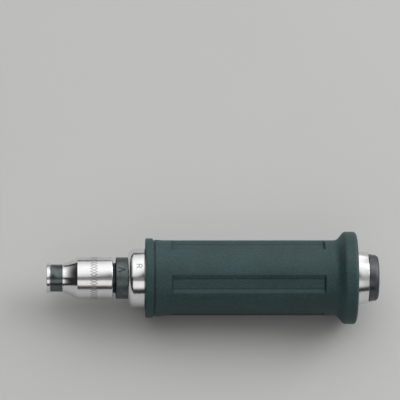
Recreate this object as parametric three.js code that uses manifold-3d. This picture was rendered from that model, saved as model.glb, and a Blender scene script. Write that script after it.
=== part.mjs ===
// Hand impact driver: a sleeve-gripped striking tool that turns a blow on its end into a turn of its bit.
// Millimetres. The tool's axis lies along X, its nose points to -X, and +Z is up.
// The origin is the centre of the striking face. While a piece is built, its places are stations,
// counted along the axis from the tip of the nose, and bearings, counted round the axis from the
// top (+Z) towards +Y, in degrees.
import * as THREE from 'three';
import { mergeVertices } from 'three/addons/utils/BufferGeometryUtils.js';
import Module from 'manifold-3d';

const wasm = await Module();
wasm.setup();

// Fits, shared by all pieces
const runningGap = 0.25;
const seatGap = 0.3;
const cutOverrun = 2;
const smallChamfer = 0.5;
const weldDistance = 0.0005;

// Facets round each kind of turned piece
const gripSides = 36;
const bodySides = 40;
const innerSides = 32;
const smallSides = 16;

// Motion
const impactStroke = 7;
const camTurn = 20;
const directionTurn = 53;

// Bit holder
const holderRadius = 11.65;
const noseLength = 9.7;
const noseFlareLength = 7.5;
const noseFlareControlShares = [0.417, 0.226];
const noseFlareSteps = 5;
const bitHexSize = 8;
const bitHexPlay = 0.15;
const bitSocketDepth = 19.5;
const socketWeb = 2;
const clipGrooveStart = 1.95;
const clipGrooveWidth = 7.05;
const clipGrooveDepth = 1.3;
const clipFloorWall = 2.825;
const squareRecessDepth = 15.1;

// Bit clip and its ball
const clipThickness = 0.6;
const clipOpening = 5;
const bitBallProtrusion = 0.5;

// Spindle with its square drive
const driveSquare = 12.7;
const driveTipGap = 1.3;
const driveSquarePlay = 0.2;
const driveTipChamfer = 1;
const shoulderGap = 1.7;
const stemRadius = 11.5;
const stemReach = 6.6;
const stemChamfer = 0.8;
const spindleFlangeThickness = 4;
const tailRadius = 8;
const driveRingWire = 0.6;
const driveRingStation = 4;
const driveNeckRadius = 5.7;

// Front collar and dust seal
const collarHeadLength = 9.5;
const collarMouthLip = 0.4;
const collarBevelLength = 3;
const collarBevelShares = [[0, 0], [0.07, 0.4], [0.3, 0.68], [0.62, 0.88], [1, 1]];
const collarSpigotLength = 11.3;
const collarSpigotWall = 1.9;
const sealWireRadius = 0.7;
const sealSquash = 0.2;
const dustSealSetback = 5.6;

// Thrust washer
const washerThickness = 1.5;

// Casing
const casingWall = 2.3;
const casingTaperLength = 13.7;
const casingNeckTaper = 1.2;
const casingTailTaper = 1;
const casingRearWall = 1.65;
const casingTail = 6.5;
const plugSocketLength = 18.7;

// Grip sleeve
const gripLength = 116.7;
const gripWall = 4.4;
const gripBandRise = 1.1;
const gripBandWidth = 3.9;
const gripGrooveWidth = 0.8;
const gripGrooveRise = 0.4;
const gripBlendLength = 5.2;
const flangeRise = 4.8;
const flangeRimWidth = 3.9;
const flangeEdgeRadius = 2;
const flareFootRadius = 3.9;
const flareTopRadius = 2.45;
const flareSlope = 52;
const flareArcSteps = 3;

// Recessed panels of the grip
const panelCount = 5;
const panelFirstBearing = 36;
const panelFrontSetback = 13.7;
const panelRearSetback = 17.6;
const panelWidth = 10.1;
const panelFloorWidth = 5.4;
const panelDepth = 1.05;
const panelEndSlopeLength = 1.1;

// Cam sleeve, its keys and the cross pin
const camFrontLip = 6.6;
const camRearLip = 5;
const pinRadius = 3.5;
const pinBearing = 90;
const windowSteps = 4;
const keyRadius = 2;
const keyCount = 2;

// Return spring and its seats
const seatThickness = 3;
const seatBossGap = 1;
const seatBossLength = 5;
const rearSeatHole = 5;
const springWire = 3.2;
const springBoreGap = 1.3;
const springTurns = 6;
const springStepsPerTurn = 12;
const springWireSides = 6;

// Striking head
const headSetIn = 0.9;
const headLength = 5.5;
const headEdgeRadius = 2.1;
const headEdgeSteps = 3;
const headPinRadius = 2;
const headPinSetback = 9;
const headSealSetback = 3.2;

// Stations, from the nose tip to the striking face
const squareRecessStart = bitSocketDepth + socketWeb;
const holderLength = squareRecessStart + squareRecessDepth;
const squareTip = squareRecessStart + driveTipGap;
const stemShoulder = holderLength + shoulderGap;
const collarFront = stemShoulder + stemReach;
const collarRear = collarFront + collarHeadLength;
const spigotEnd = collarRear + collarSpigotLength;
const casingFront = collarRear + seatGap;
const gripFront = casingFront + seatGap;
const gripRear = gripFront + gripLength;
const casingRear = gripRear + casingTail;
const headStart = casingRear + seatGap;
const strikingFace = headStart + headLength;
const washerStart = spigotEnd + seatGap;
const flangeStart = washerStart + washerThickness + seatGap;
const flangeEnd = flangeStart + spindleFlangeThickness;
const camSleeveStart = flangeEnd + impactStroke + shoulderGap;
const windowStart = camSleeveStart + camFrontLip;
const pinStation = windowStart + pinRadius + runningGap;
const windowEnd = pinStation + impactStroke + pinRadius + runningGap;
const camSleeveEnd = windowEnd + camRearLip;
const tailEnd = camSleeveEnd + seatGap;
const frontSeatStart = tailEnd + seatGap;
const plugSocketStart = casingRear - plugSocketLength;
const rearSeatStart = plugSocketStart - seatGap - seatThickness;

// Radii that follow from the pieces they fit
const bitHexReach = (bitHexSize + bitHexPlay) / 2;
const clipGrooveFloor = bitHexReach + clipFloorWall;
const noseRadius = clipGrooveFloor + clipGrooveDepth;
const bitBallRadius = (clipFloorWall + bitBallProtrusion) / 2;
const collarBore = stemRadius + seatGap;
const innerRadius = collarBore + collarSpigotWall;
const casingBore = innerRadius + seatGap;
const casingRadius = casingBore + casingWall;
const casingNeckRadius = casingRadius - casingNeckTaper;
const casingRearRadius = casingNeckRadius - casingTailTaper;
const plugBore = casingRearRadius - casingRearWall;
const plugRadius = plugBore - runningGap;
const headRadius = casingRearRadius - headSetIn;
const camSleeveBore = tailRadius + seatGap;
const springOuterRadius = innerRadius - springBoreGap;
const seatBossRadius = springOuterRadius - springWire - seatBossGap;
const gripBore = casingRadius + runningGap;
const gripRadius = gripBore + gripWall;
const gripBandRadius = gripRadius + gripBandRise;
const gripGrooveRadius = gripRadius + gripGrooveRise;
const flangeRadius = gripRadius + flangeRise;

const halfTurn = 180;
const radians = (degrees) => THREE.MathUtils.degToRad(degrees);

// Outline helpers: an outline is a list of [station, radius]

function arc(station, radius, bend, fromAngle, toAngle, steps) {
  const points = [];
  for (let i = 0; i <= steps; i += 1) {
    const angle = radians(fromAngle + (toAngle - fromAngle) * i / steps);
    points.push([station + bend * Math.cos(angle), radius + bend * Math.sin(angle)]);
  }
  return points;
}

function curved(start, control, end, steps) {
  const curve = new THREE.QuadraticBezierCurve(
    new THREE.Vector2(...start), new THREE.Vector2(...control), new THREE.Vector2(...end));
  return curve.getPoints(steps).map((point) => [point.x, point.y]);
}

// Solid helpers: each one gives a manifold solid with its faces pointing out

function enclosedVolume(places, triangles) {
  const a = new THREE.Vector3();
  const b = new THREE.Vector3();
  const c = new THREE.Vector3();
  let volume = 0;
  for (let i = 0; i < triangles.length; i += 3) {
    a.fromArray(places, 3 * triangles[i]);
    b.fromArray(places, 3 * triangles[i + 1]);
    c.fromArray(places, 3 * triangles[i + 2]);
    volume += a.dot(b.cross(c));
  }
  return volume;
}

function solid(geometry) {
  const bare = new THREE.BufferGeometry();
  bare.setAttribute('position', geometry.getAttribute('position'));
  bare.setIndex(geometry.getIndex());
  const merged = mergeVertices(bare, weldDistance);
  const places = merged.getAttribute('position').array;
  const index = merged.getIndex().array;
  const triangles = [];
  for (let i = 0; i < index.length; i += 3) {
    const [a, b, c] = index.slice(i, i + 3);
    if (a !== b && b !== c && c !== a) {
      triangles.push(a, b, c);
    }
  }
  if (enclosedVolume(places, triangles) < 0) {
    triangles.reverse();
  }
  return new wasm.Manifold(new wasm.Mesh({
    numProp: 3,
    vertProperties: Float32Array.from(places),
    triVerts: Uint32Array.from(triangles),
  }));
}

function turned(outline, sides) {
  const points = outline.map(([station, radius]) => new THREE.Vector2(radius, station));
  if (points[0].x > 0) {
    points.push(points[0].clone());
  }
  const geometry = new THREE.LatheGeometry(points, sides, Math.PI / sides);
  geometry.rotateZ(-Math.PI / 2);
  return solid(geometry);
}

function regularPrism(sides, acrossFlats, start, end) {
  const cornerRadius = acrossFlats / 2 / Math.cos(Math.PI / sides);
  const outline = [];
  for (let i = 0; i < sides; i += 1) {
    const angle = (2 * i + 1) * Math.PI / sides;
    outline.push(new THREE.Vector2(cornerRadius * Math.cos(angle), cornerRadius * Math.sin(angle)));
  }
  const geometry = new THREE.ExtrudeGeometry(new THREE.Shape(outline), { depth: end - start, bevelEnabled: false });
  geometry.rotateY(Math.PI / 2);
  geometry.translate(start, 0, 0);
  return solid(geometry);
}

function radialRod(rodRadius, inner, outer, station, bearing, sides = smallSides) {
  const geometry = new THREE.CylinderGeometry(rodRadius, rodRadius, outer - inner, sides);
  geometry.rotateX(Math.PI / 2);
  geometry.translate(station, 0, (inner + outer) / 2);
  geometry.rotateX(-radians(bearing));
  return solid(geometry);
}

function block(low, high) {
  const size = high.map((value, i) => value - low[i]);
  const geometry = new THREE.BoxGeometry(...size);
  geometry.translate(...high.map((value, i) => (value + low[i]) / 2));
  return solid(geometry);
}

function loft(sections) {
  const count = sections[0].length;
  const places = sections.flat(2);
  const triangles = [];
  for (let i = 0; i + 1 < sections.length; i += 1) {
    for (let j = 0; j < count; j += 1) {
      const here = i * count + j;
      const beside = i * count + (j + 1) % count;
      triangles.push(here, beside, beside + count, here, beside + count, here + count);
    }
  }
  const last = (sections.length - 1) * count;
  for (let j = 1; j + 1 < count; j += 1) {
    triangles.push(0, j + 1, j, last, last + j, last + j + 1);
  }
  const geometry = new THREE.BufferGeometry();
  geometry.setAttribute('position', new THREE.Float32BufferAttribute(places, 3));
  geometry.setIndex(triangles);
  return solid(geometry);
}

function ringOfWire(station, ringRadius, wireRadius) {
  return turned(arc(station, ringRadius, wireRadius, 0, 360 - 45, 7), innerSides);
}

// The finished tool

const tool = new THREE.Group();
tool.position.x = -strikingFace;

function addPiece(name, shape, colour, roughness, metalness) {
  const cut = shape.getMesh();
  const geometry = new THREE.BufferGeometry();
  geometry.setAttribute('position', new THREE.BufferAttribute(cut.vertProperties, 3));
  geometry.setIndex(new THREE.BufferAttribute(cut.triVerts, 1));
  geometry.computeVertexNormals();
  const mesh = new THREE.Mesh(geometry, new THREE.MeshStandardMaterial({ color: colour, roughness, metalness }));
  mesh.name = name;
  tool.add(mesh);
}

// Bit holder: a hexagon socket for the bit at the nose, a square recess for the spindle behind it

function bitHolder() {
  const grooveEnd = clipGrooveStart + clipGrooveWidth;
  const flareEnd = noseLength + noseFlareLength;
  const rise = holderRadius - noseRadius;
  const flareControl = [
    noseLength + noseFlareControlShares[0] * noseFlareLength,
    noseRadius + noseFlareControlShares[1] * rise,
  ];
  const outline = [
    [0, 0], [0, noseRadius - smallChamfer], [smallChamfer, noseRadius],
    [clipGrooveStart, noseRadius], [clipGrooveStart, clipGrooveFloor],
    [grooveEnd, clipGrooveFloor], [grooveEnd, noseRadius],
    ...curved([noseLength, noseRadius], flareControl, [flareEnd, holderRadius], noseFlareSteps),
    [holderLength - smallChamfer, holderRadius], [holderLength, holderRadius - smallChamfer], [holderLength, 0],
  ];
  const recess = driveSquare + 2 * driveSquarePlay;
  const ringGroove = ringGrooveOutline(driveSquare / 2 + driveRingWire + runningGap, squareTip + driveRingStation);
  return turned(outline, innerSides)
    .subtract(regularPrism(6, 2 * bitHexReach, -cutOverrun, bitSocketDepth))
    .subtract(regularPrism(4, recess, squareRecessStart, holderLength + cutOverrun))
    .subtract(ringGroove)
    .subtract(radialRod(bitBallRadius + runningGap, 0, holderRadius, clipMiddle(), 0));
}

function clipMiddle() {
  return clipGrooveStart + clipGrooveWidth / 2;
}

function ringGrooveOutline(floorRadius, station) {
  const halfWidth = driveRingWire + runningGap;
  return turned([
    [station - halfWidth, 0], [station - halfWidth, floorRadius],
    [station + halfWidth, floorRadius], [station + halfWidth, 0],
  ], innerSides);
}

// Bit clip: a split band of spring steel that holds the bit ball in

function bitClip() {
  const inner = clipGrooveFloor + runningGap / 2;
  const outer = inner + clipThickness;
  const start = clipGrooveStart + seatGap;
  const end = clipGrooveStart + clipGrooveWidth - seatGap;
  const band = turned([[start, inner], [start, outer], [end, outer], [end, inner]], innerSides);
  return band.subtract(block([0, -clipOpening / 2, -outer - cutOverrun], [end + cutOverrun, clipOpening / 2, 0]));
}

function bitBall() {
  const geometry = new THREE.SphereGeometry(bitBallRadius, smallSides, smallSides / 2);
  geometry.translate(clipMiddle(), 0, clipGrooveFloor - bitBallRadius);
  return solid(geometry);
}

// Spindle: square drive, round stem, flange and the tail that carries the cross pin

function spindle() {
  const ringStation = squareTip + driveRingStation;
  const neckHalf = driveRingWire + runningGap / 2;
  const square = regularPrism(4, driveSquare, squareTip, stemShoulder + stemChamfer);
  const cornerRadius = driveSquare / Math.SQRT2;
  const tipCone = turned([
    [squareTip, 0], [squareTip, cornerRadius - driveTipChamfer], [squareTip + driveTipChamfer, cornerRadius],
    [stemShoulder + stemChamfer, cornerRadius], [stemShoulder + stemChamfer, 0],
  ], innerSides);
  const ringNeck = turned([
    [ringStation - neckHalf, driveNeckRadius], [ringStation - neckHalf, cornerRadius + cutOverrun],
    [ringStation + neckHalf, cornerRadius + cutOverrun], [ringStation + neckHalf, driveNeckRadius],
  ], innerSides);
  const body = turned([
    [stemShoulder, 0], [stemShoulder, stemRadius - stemChamfer], [stemShoulder + stemChamfer, stemRadius],
    [flangeStart, stemRadius], [flangeStart, innerRadius - smallChamfer],
    [flangeStart + smallChamfer, innerRadius], [flangeEnd, innerRadius],
    [flangeEnd, tailRadius], [tailEnd - smallChamfer, tailRadius],
    [tailEnd, tailRadius - smallChamfer], [tailEnd, 0],
  ], innerSides);
  const pinHole = radialRod(
    pinRadius + runningGap, -tailRadius - cutOverrun, tailRadius + cutOverrun, pinStation, pinBearing, innerSides);
  return square.intersect(tipCone).subtract(ringNeck).add(body).subtract(pinHole);
}

function driveRing() {
  return ringOfWire(squareTip + driveRingStation, driveSquare / 2 + driveRingWire / 4, driveRingWire);
}

function crossPin() {
  const reach = innerRadius - runningGap;
  return radialRod(pinRadius, -reach, reach, pinStation, pinBearing, innerSides);
}

// Front collar: a bevelled ring with a spigot in the casing, and a groove for the dust seal

function frontCollar() {
  const bevel = collarBevelShares.map(([along, out]) => [
    collarFront + along * collarBevelLength,
    collarBore + collarMouthLip + out * (casingRadius - collarBore - collarMouthLip),
  ]);
  const grooveMiddle = collarFront + dustSealSetback;
  const grooveHalf = sealWireRadius + runningGap;
  const grooveFloor = collarBore + 2 * sealWireRadius + runningGap;
  return turned([
    ...bevel,
    [collarRear - smallChamfer, casingRadius], [collarRear, casingRadius - smallChamfer],
    [collarRear, innerRadius], [spigotEnd, innerRadius], [spigotEnd, collarBore],
    [grooveMiddle + grooveHalf, collarBore], [grooveMiddle + grooveHalf, grooveFloor],
    [grooveMiddle - grooveHalf, grooveFloor], [grooveMiddle - grooveHalf, collarBore],
    [collarFront, collarBore],
  ], bodySides);
}

function dustSeal() {
  return ringOfWire(collarFront + dustSealSetback, stemRadius + sealSquash + sealWireRadius, sealWireRadius);
}

function thrustWasher() {
  const end = washerStart + washerThickness;
  return turned([
    [washerStart, collarBore], [washerStart, innerRadius], [end, innerRadius], [end, collarBore],
  ], innerSides);
}

// Casing: the steel tube under the grip, necked down where the striking head plugs in

function casing() {
  const taperStart = gripRear - casingTaperLength;
  const shell = turned([
    [casingFront, casingBore], [casingFront, casingRadius - smallChamfer],
    [casingFront + smallChamfer, casingRadius], [taperStart, casingRadius],
    [gripRear, casingNeckRadius], [casingRear, casingRearRadius],
    [casingRear, plugBore], [plugSocketStart, plugBore], [plugSocketStart, casingBore],
  ], bodySides);
  const reach = casingRadius + cutOverrun;
  const pinHole = radialRod(headPinRadius + runningGap, -reach, reach, headPinStation(), pinBearing);
  const keyHole = radialRod(keyRadius + runningGap, -reach, reach, keyStation(), 0);
  return shell.subtract(pinHole).subtract(keyHole);
}

function keyStation() {
  return camSleeveStart + camFrontLip / 2;
}

function headPinStation() {
  return casingRear - headPinSetback;
}

// Cam sleeve: a hardened tube with two opposite helical windows for the cross pin.
// The pin pushed back along the leading wall turns the spindle.

function camWindow(bearing) {
  const turnPerLength = camTurn / impactStroke;
  const wallSlope = Math.atan(radians(turnPerLength) * innerRadius);
  const halfWidth = (pinRadius + runningGap) / Math.cos(wallSlope);
  const reach = innerRadius + cutOverrun;
  const place = (station, angle, along, aside) => [
    station,
    along * Math.sin(radians(angle)) + aside * Math.cos(radians(angle)),
    along * Math.cos(radians(angle)) - aside * Math.sin(radians(angle)),
  ];
  const sections = [];
  for (let i = 0; i <= windowSteps; i += 1) {
    const station = windowStart + (windowEnd - windowStart) * i / windowSteps;
    const leading = bearing + turnPerLength * (station - pinStation);
    const trailing = leading + directionTurn;
    const section = [place(station, leading, camSleeveBore / 2, -halfWidth)];
    section.push(place(station, leading, reach, -halfWidth));
    for (let j = 0; j <= windowSteps; j += 1) {
      section.push(place(station, leading + directionTurn * j / windowSteps, reach + cutOverrun, 0));
    }
    section.push(place(station, trailing, reach, halfWidth));
    section.push(place(station, trailing, camSleeveBore / 2, halfWidth));
    sections.push(section);
  }
  return loft(sections);
}

function camSleeve() {
  const reach = innerRadius + cutOverrun;
  const tube = turned([
    [camSleeveStart, camSleeveBore], [camSleeveStart, innerRadius],
    [camSleeveEnd, innerRadius], [camSleeveEnd, camSleeveBore],
  ], innerSides);
  return tube
    .subtract(camWindow(pinBearing))
    .subtract(camWindow(pinBearing + halfTurn))
    .subtract(radialRod(keyRadius + runningGap, -reach, reach, keyStation(), 0));
}

function camKey(index) {
  const bearing = index * 360 / keyCount;
  return radialRod(keyRadius, camSleeveBore + seatGap, casingRadius - seatGap, keyStation(), bearing);
}

// Return spring: an open coil between two seats with bosses

class Coil extends THREE.Curve {
  constructor(start, end, radius, turns) {
    super();
    Object.assign(this, { start, end, radius, turns });
  }

  getPoint(share, target = new THREE.Vector3()) {
    const angle = 2 * Math.PI * this.turns * share;
    const station = THREE.MathUtils.lerp(this.start, this.end, share);
    return target.set(station, this.radius * Math.cos(angle), this.radius * Math.sin(angle));
  }
}

function returnSpring() {
  const wireRadius = springWire / 2;
  const start = frontSeatStart + seatThickness + wireRadius + seatGap;
  const end = rearSeatStart - wireRadius - seatGap;
  const coil = new Coil(start, end, springOuterRadius - wireRadius, springTurns);
  const wire = new THREE.Shape(new THREE.EllipseCurve(0, 0, wireRadius, wireRadius).getPoints(springWireSides));
  const geometry = new THREE.ExtrudeGeometry(wire, {
    steps: springTurns * springStepsPerTurn,
    extrudePath: coil,
    bevelEnabled: false,
  });
  console.log(`return spring: least gap between turns ${((end - start) / springTurns - springWire).toFixed(2)} mm`);
  return solid(geometry);
}

function frontSpringSeat() {
  const faceEnd = frontSeatStart + seatThickness;
  return turned([
    [frontSeatStart, 0], [frontSeatStart, innerRadius], [faceEnd, innerRadius], [faceEnd, seatBossRadius],
    [faceEnd + seatBossLength, seatBossRadius], [faceEnd + seatBossLength, 0],
  ], innerSides);
}

function rearSpringSeat() {
  const end = rearSeatStart + seatThickness;
  return turned([
    [rearSeatStart - seatBossLength, rearSeatHole], [rearSeatStart - seatBossLength, seatBossRadius],
    [rearSeatStart, seatBossRadius], [rearSeatStart, innerRadius], [end, innerRadius], [end, rearSeatHole],
  ], innerSides);
}

// Striking head: the anvil that takes the blow, with a sealed and pinned plug in the casing

function strikingHead() {
  const faceRadius = headRadius - headEdgeRadius;
  const plugStart = plugSocketStart + seatGap;
  const grooveMiddle = plugStart + headSealSetback;
  const grooveHalf = sealWireRadius + runningGap;
  const grooveFloor = plugRadius - 2 * sealWireRadius;
  const body = turned([
    [plugStart, 0], [plugStart, plugRadius - smallChamfer], [plugStart + smallChamfer, plugRadius],
    [grooveMiddle - grooveHalf, plugRadius], [grooveMiddle - grooveHalf, grooveFloor],
    [grooveMiddle + grooveHalf, grooveFloor], [grooveMiddle + grooveHalf, plugRadius],
    [headStart, plugRadius], [headStart, headRadius],
    ...arc(strikingFace - headEdgeRadius, faceRadius, headEdgeRadius, 90, 0, headEdgeSteps),
    [strikingFace, 0],
  ], bodySides);
  const reach = plugRadius + cutOverrun;
  return body.subtract(radialRod(headPinRadius + runningGap, -reach, reach, headPinStation(), pinBearing));
}

function headSeal() {
  const station = plugSocketStart + seatGap + headSealSetback;
  return ringOfWire(station, plugRadius - sealWireRadius + sealSquash / 2, sealWireRadius);
}

function headPin() {
  const reach = casingNeckRadius;
  return radialRod(headPinRadius, -reach, reach, headPinStation(), pinBearing);
}

// Grip sleeve: moulded rubber with a front band, five recessed panels and a flared hand stop

function gripPanel(index) {
  const floor = gripRadius - panelDepth;
  const top = gripRadius + cutOverrun;
  const halfWall = (panelWidth - panelFloorWidth) / 2;
  const edgeHeight = Math.sqrt(gripRadius ** 2 - (panelWidth / 2) ** 2);
  const spread = (top - floor) / (edgeHeight - floor);
  const endSpread = (top - floor) / panelDepth;
  const start = gripFront + panelFrontSetback + panelEndSlopeLength;
  const end = gripRear - panelRearSetback - panelEndSlopeLength;
  const geometry = new THREE.BoxGeometry(1, 1, 1);
  const corners = geometry.getAttribute('position');
  for (let i = 0; i < corners.count; i += 1) {
    const isTop = corners.getZ(i) > 0;
    const lengthwise = isTop ? panelEndSlopeLength * endSpread : 0;
    const sideways = panelFloorWidth / 2 + (isTop ? halfWall * spread : 0);
    corners.setX(i, corners.getX(i) > 0 ? end + lengthwise : start - lengthwise);
    corners.setY(i, Math.sign(corners.getY(i)) * sideways);
    corners.setZ(i, isTop ? top : floor);
  }
  geometry.rotateX(-radians(panelFirstBearing + index * 360 / panelCount));
  return solid(geometry);
}

function gripSleeve() {
  const bandEnd = gripFront + gripBandWidth;
  const grooveEnd = bandEnd + gripGrooveWidth;
  const rimStart = gripRear - flangeEdgeRadius - flangeRimWidth;
  const bends = flareFootRadius + flareTopRadius;
  const slopeRise = flangeRadius - gripRadius - bends * (1 - Math.cos(radians(flareSlope)));
  const slopeRun = slopeRise / Math.tan(radians(flareSlope));
  const flareStart = rimStart - slopeRun - bends * Math.sin(radians(flareSlope));
  const outline = [
    [gripFront, gripBore], [gripFront, gripBandRadius - smallChamfer], [gripFront + smallChamfer, gripBandRadius],
    [bandEnd, gripBandRadius], [grooveEnd, gripGrooveRadius], [grooveEnd + gripBlendLength, gripRadius],
    ...arc(flareStart, gripRadius + flareFootRadius, flareFootRadius, -90, -90 + flareSlope, flareArcSteps),
    ...arc(rimStart, flangeRadius - flareTopRadius, flareTopRadius, 90 + flareSlope, 90, flareArcSteps),
    ...arc(gripRear - flangeEdgeRadius, flangeRadius - flangeEdgeRadius, flangeEdgeRadius, 90, 0, flareArcSteps),
    [gripRear, casingNeckRadius + runningGap], [gripRear - casingTaperLength, gripBore],
  ];
  let sleeve = turned(outline, gripSides);
  for (let i = 0; i < panelCount; i += 1) {
    sleeve = sleeve.subtract(gripPanel(i));
  }
  return sleeve;
}

// Colours, roughness and metalness as seen on the tool
addPiece('bit_holder', bitHolder(), 0xc9cbcf, 0.22, 1);
addPiece('bit_clip', bitClip(), 0x6a6c70, 0.45, 1);
addPiece('bit_ball', bitBall(), 0xd0d2d6, 0.15, 1);
addPiece('spindle', spindle(), 0x5b5e60, 0.5, 0.9);
addPiece('drive_ring', driveRing(), 0x7c7e82, 0.4, 1);
addPiece('cross_pin', crossPin(), 0x8e9094, 0.3, 1);
addPiece('front_collar', frontCollar(), 0xd2d4d8, 0.18, 1);
addPiece('dust_seal', dustSeal(), 0x18191a, 0.7, 0);
addPiece('thrust_washer', thrustWasher(), 0xa9803f, 0.4, 1);
addPiece('casing', casing(), 0xd2d4d8, 0.18, 1);
addPiece('grip_sleeve', gripSleeve(), 0x415454, 0.75, 0);
addPiece('cam_sleeve', camSleeve(), 0x6e7074, 0.4, 1);
for (let i = 0; i < keyCount; i += 1) {
  addPiece(`cam_key_${i + 1}`, camKey(i), 0x8e9094, 0.3, 1);
}
addPiece('front_spring_seat', frontSpringSeat(), 0x77797d, 0.4, 1);
addPiece('return_spring', returnSpring(), 0x3c3e42, 0.35, 1);
addPiece('rear_spring_seat', rearSpringSeat(), 0x77797d, 0.4, 1);
addPiece('striking_head', strikingHead(), 0x6f6e74, 0.5, 1);
addPiece('head_seal', headSeal(), 0x18191a, 0.7, 0);
addPiece('head_pin', headPin(), 0x8e9094, 0.3, 1);

export default tool;
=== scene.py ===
import math

import bmesh
import bpy
import numpy as np
from mathutils import Matrix, Vector


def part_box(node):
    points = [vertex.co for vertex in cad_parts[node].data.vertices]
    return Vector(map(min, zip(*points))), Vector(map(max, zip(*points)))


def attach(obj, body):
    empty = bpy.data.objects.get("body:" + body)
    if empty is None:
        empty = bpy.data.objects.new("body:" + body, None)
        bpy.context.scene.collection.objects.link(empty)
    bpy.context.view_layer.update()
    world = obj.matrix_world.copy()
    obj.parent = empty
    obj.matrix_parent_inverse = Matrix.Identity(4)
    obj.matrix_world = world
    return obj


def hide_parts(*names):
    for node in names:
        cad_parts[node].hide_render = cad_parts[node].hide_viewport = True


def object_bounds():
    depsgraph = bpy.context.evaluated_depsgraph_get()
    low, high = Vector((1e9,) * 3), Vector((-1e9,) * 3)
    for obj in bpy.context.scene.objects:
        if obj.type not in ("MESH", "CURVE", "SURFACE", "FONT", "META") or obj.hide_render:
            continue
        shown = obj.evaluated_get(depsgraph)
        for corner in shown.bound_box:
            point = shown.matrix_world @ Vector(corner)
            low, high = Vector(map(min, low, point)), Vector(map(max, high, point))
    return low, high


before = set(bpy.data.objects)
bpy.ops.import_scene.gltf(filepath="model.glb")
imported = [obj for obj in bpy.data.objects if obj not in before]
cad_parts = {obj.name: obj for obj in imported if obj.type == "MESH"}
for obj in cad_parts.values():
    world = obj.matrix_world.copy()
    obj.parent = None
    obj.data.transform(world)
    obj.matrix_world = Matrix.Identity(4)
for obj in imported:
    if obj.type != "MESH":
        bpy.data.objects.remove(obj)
cad_box = [list(corner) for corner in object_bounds()]


# Sizes in millimetres. A station counts from the nose, and a bearing from +Z towards +Y, in radians.

MM = 0.001
LENGTH = round((cad_box[1][0] - cad_box[0][0]) / MM, 4)


def ends(node):
    """Stations of a CAD node's front and rear end."""
    low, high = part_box(node)
    return round(low.x / MM + LENGTH, 4), round(high.x / MM + LENGTH, 4)


def middle(node):
    """Station halfway along a CAD node."""
    return sum(ends(node)) / 2


def place(station, radius, bearing):
    """Point of the frame, in metres, at a station, a radius and a bearing."""
    return ((station - LENGTH) * MM, radius * math.sin(bearing) * MM, radius * math.cos(bearing) * MM)


def link(name, data):
    """New object of the scene."""
    thing = bpy.data.objects.new(name, data)
    bpy.context.scene.collection.objects.link(thing)
    return thing


HOLDER_REAR = ends("bit_holder")[1]
SPINDLE_FRONT, SPINDLE_REAR = ends("spindle")
COLLAR_FRONT, COLLAR_REAR = ends("front_collar")
CASING_FRONT, CASING_REAR = ends("casing")
GRIP_FRONT, GRIP_REAR = ends("grip_sleeve")
HEAD_FRONT = ends("striking_head")[0]

# Bit holder with its ball, and the square recess for the drive
NOSE_END, NOSE_RADIUS = 9.7, 8.2
FLARE_END, HOLDER_RADIUS = 17.2, 11.65
FLARE_CORNER = (12.83, 8.98)
HEX_HALF, RECESS_HALF, RECESS_CORNER = 4.075, 6.45, 9.0
BALL_STATION, BALL_RADIUS, BALL_HEIGHT = middle("bit_ball"), 1.6625, 5.2375
BALL_HOLE_RADIUS = 1.9

# Spindle, and the front collar, whose head is as wide as the casing
DRIVE_HALF, DRIVE_CORNER = 6.35, 8.6
STEM_FRONT, STEM_RADIUS = HOLDER_REAR + 1.7, 11.5
RING_STATION, RING_RADIUS, RING_WIRE = middle("drive_ring"), 6.5, 0.58
SEAL_STATION, SEAL_RADIUS, SEAL_WIRE = middle("dust_seal"), 12.35, 0.7
SEAL_GROOVE = 1.9
CASING_RADIUS = 16.3
TAPER_START = 158.0
PIN_HOLE_RADIUS, CROSS_PIN_HOLE_RADIUS = 2.25, 3.75

# Grip with its front band, the groove behind the band, and the hand stop
GRIP_RADIUS, BAND_RADIUS, STOP_RADIUS = 20.9, 22.0, 25.65
GROOVE_START, GROOVE_END, GROOVE_RADIUS = 59.0, 59.7, 20.95

# Panels of the grip: stations of their ends, length of the slope there, and a flat floor between side walls
PANELS = 5
PANEL_STEP = 2 * math.pi / PANELS
PANEL_START, PANEL_END, PANEL_SLOPE = 68.7, 154.1, 1.0
PANEL_FLOOR, PANEL_HALF, PANEL_EDGE = 19.45, 2.8, 5.05


# Camera: the tool's axis, nose and striking face fall on the same pixels as in the photograph

PICTURE = 400
SENSOR = 36
FOCAL_PIXELS = 3425.0
AXIS_ROW = 278.0
NOSE_COLUMN, FACE_COLUMN = 46.5, 378.0

# The camera looks from a bearing of FACING, and YAW turns it away from square to the axis
YAW = math.radians(-1.9)
FACING = math.radians(-26.5)


def slope(pixel):
    """Tangent of the angle between the middle of the picture and a row or column."""
    return (pixel - PICTURE / 2) / FOCAL_PIXELS


def axis_share(column):
    """Distance along the axis from the picture's middle column, as a share of the camera's distance."""
    return slope(column) / (math.cos(YAW) + slope(column) * math.sin(YAW))


def set_camera():
    """Looks down on the near side of the axis, from as far away as the tool's length in the picture asks."""
    drop = slope(AXIS_ROW)
    bearing = FACING - math.atan(drop)
    back = Vector((math.sin(YAW), math.cos(YAW) * math.sin(bearing), math.cos(YAW) * math.cos(bearing)))
    up = Vector((0, math.cos(bearing), -math.sin(bearing)))
    right = up.cross(back)
    distance = LENGTH * MM / (axis_share(FACE_COLUMN) - axis_share(NOSE_COLUMN))
    aim = Vector((-distance * axis_share(FACE_COLUMN), 0, 0))
    lens = bpy.data.cameras.new("camera")
    lens.sensor_width = SENSOR
    lens.lens = FOCAL_PIXELS * SENSOR / PICTURE
    lens.clip_end = 50
    spot = Matrix.Translation(aim + up * drop * distance + back * distance)
    camera = link("camera", lens)
    camera.matrix_world = spot @ Matrix((right, up, back)).transposed().to_4x4()
    bpy.context.scene.camera = camera


set_camera()
bpy.context.scene.view_settings.view_transform = "Standard"


# Node trees

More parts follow.
